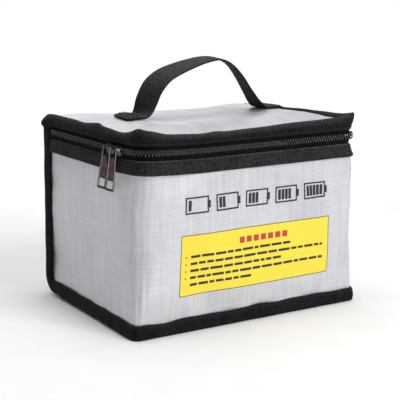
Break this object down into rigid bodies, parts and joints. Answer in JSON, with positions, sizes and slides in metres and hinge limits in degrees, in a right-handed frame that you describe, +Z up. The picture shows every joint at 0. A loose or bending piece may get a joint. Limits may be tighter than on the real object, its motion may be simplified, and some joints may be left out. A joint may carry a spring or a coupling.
{
  "type": "battery storage bag",
  "caption": "Padded silver box bag with black bound edges, a lid hinged along its back edge, a zip round three sides with hanging pullers, and a webbing carry handle.",
  "frame": {"origin": "on the floor under the middle of the bag, at the centre of its bottom face", "axes": "+Z up, front of the bag towards -Y, lid hinge along the back top edge at +Y, zip sliders parked on the left side at -X"},
  "size_m": [0.2287, 0.1673, 0.214],
  "materials": {
    "silver_cloth": "aluminium-coated woven glass cloth, fine square weave, soft silver sheen",
    "foam_padding": "matt closed-cell foam padding",
    "silver_lining": "thin silver-coated lining cloth, satin",
    "black_grosgrain": "matt black ribbed binding tape",
    "black_zip_tape": "matt black knitted zip tape",
    "black_nylon_coil": "satin black nylon zip coil",
    "black_webbing": "matt black woven webbing",
    "gunmetal_plate": "dark nickel plating, worn lighter on the edges"
  },
  "bodies": {
    "bag_body": {"wrap_outer_cloth": "silver_cloth", "wrap_padding": "foam_padding", "wrap_lining": "silver_lining", "back_bottom_outer_cloth": "silver_cloth", "back_bottom_padding": "foam_padding", "back_bottom_lining": "silver_lining", "body_edge_binding": "black_grosgrain", "mouth_band": "black_grosgrain", "mouth_inner_binding": "black_grosgrain", "zip_tape_lower": "black_zip_tape", "zip_coil_lower": "black_nylon_coil"},
    "lid": {"lid_outer_cloth": "silver_cloth", "lid_padding": "foam_padding", "lid_lining": "silver_lining", "lid_edge_binding": "black_grosgrain", "zip_tape_upper": "black_zip_tape", "zip_coil_upper": "black_nylon_coil", "handle_tail_left": "black_webbing", "handle_tail_right": "black_webbing"},
    "handle": {"handle_strap": "black_webbing"},
    "rear_slider": {"rear_slider_body": "gunmetal_plate"},
    "front_slider": {"front_slider_body": "gunmetal_plate"},
    "rear_pull": {"rear_puller": "gunmetal_plate"},
    "front_pull": {"front_puller": "gunmetal_plate"}
  },
  "joints": [
    {"name": "lid_hinge", "type": "hinge", "parent": "bag_body", "child": "lid", "pos_m": [0, 0.0825, 0.163], "axis": [-1, 0, 0], "range_deg": [0, 170]},
    {"name": "handle_flop", "type": "hinge", "parent": "lid", "child": "handle", "pos_m": [0.003, 0, 0.1662], "axis": [1, 0, 0], "range_deg": [-60, 60]},
    {"name": "rear_slider_slide", "type": "slide", "parent": "bag_body", "child": "rear_slider", "axis": [0, 1, 0], "range_m": [0, 0.105]},
    {"name": "front_slider_slide", "type": "slide", "parent": "bag_body", "child": "front_slider", "axis": [0, -1, 0], "range_m": [0, 0.012]},
    {"name": "rear_pull_swing", "type": "hinge", "parent": "rear_slider", "child": "rear_pull", "pos_m": [-0.115, -0.039, 0.1505], "axis": [0, 1, 0], "range_deg": [-6, 147]},
    {"name": "front_pull_swing", "type": "hinge", "parent": "front_slider", "child": "front_pull", "pos_m": [-0.115, -0.051, 0.1505], "axis": [0, 1, 0], "range_deg": [-6, 147]}
  ]
}
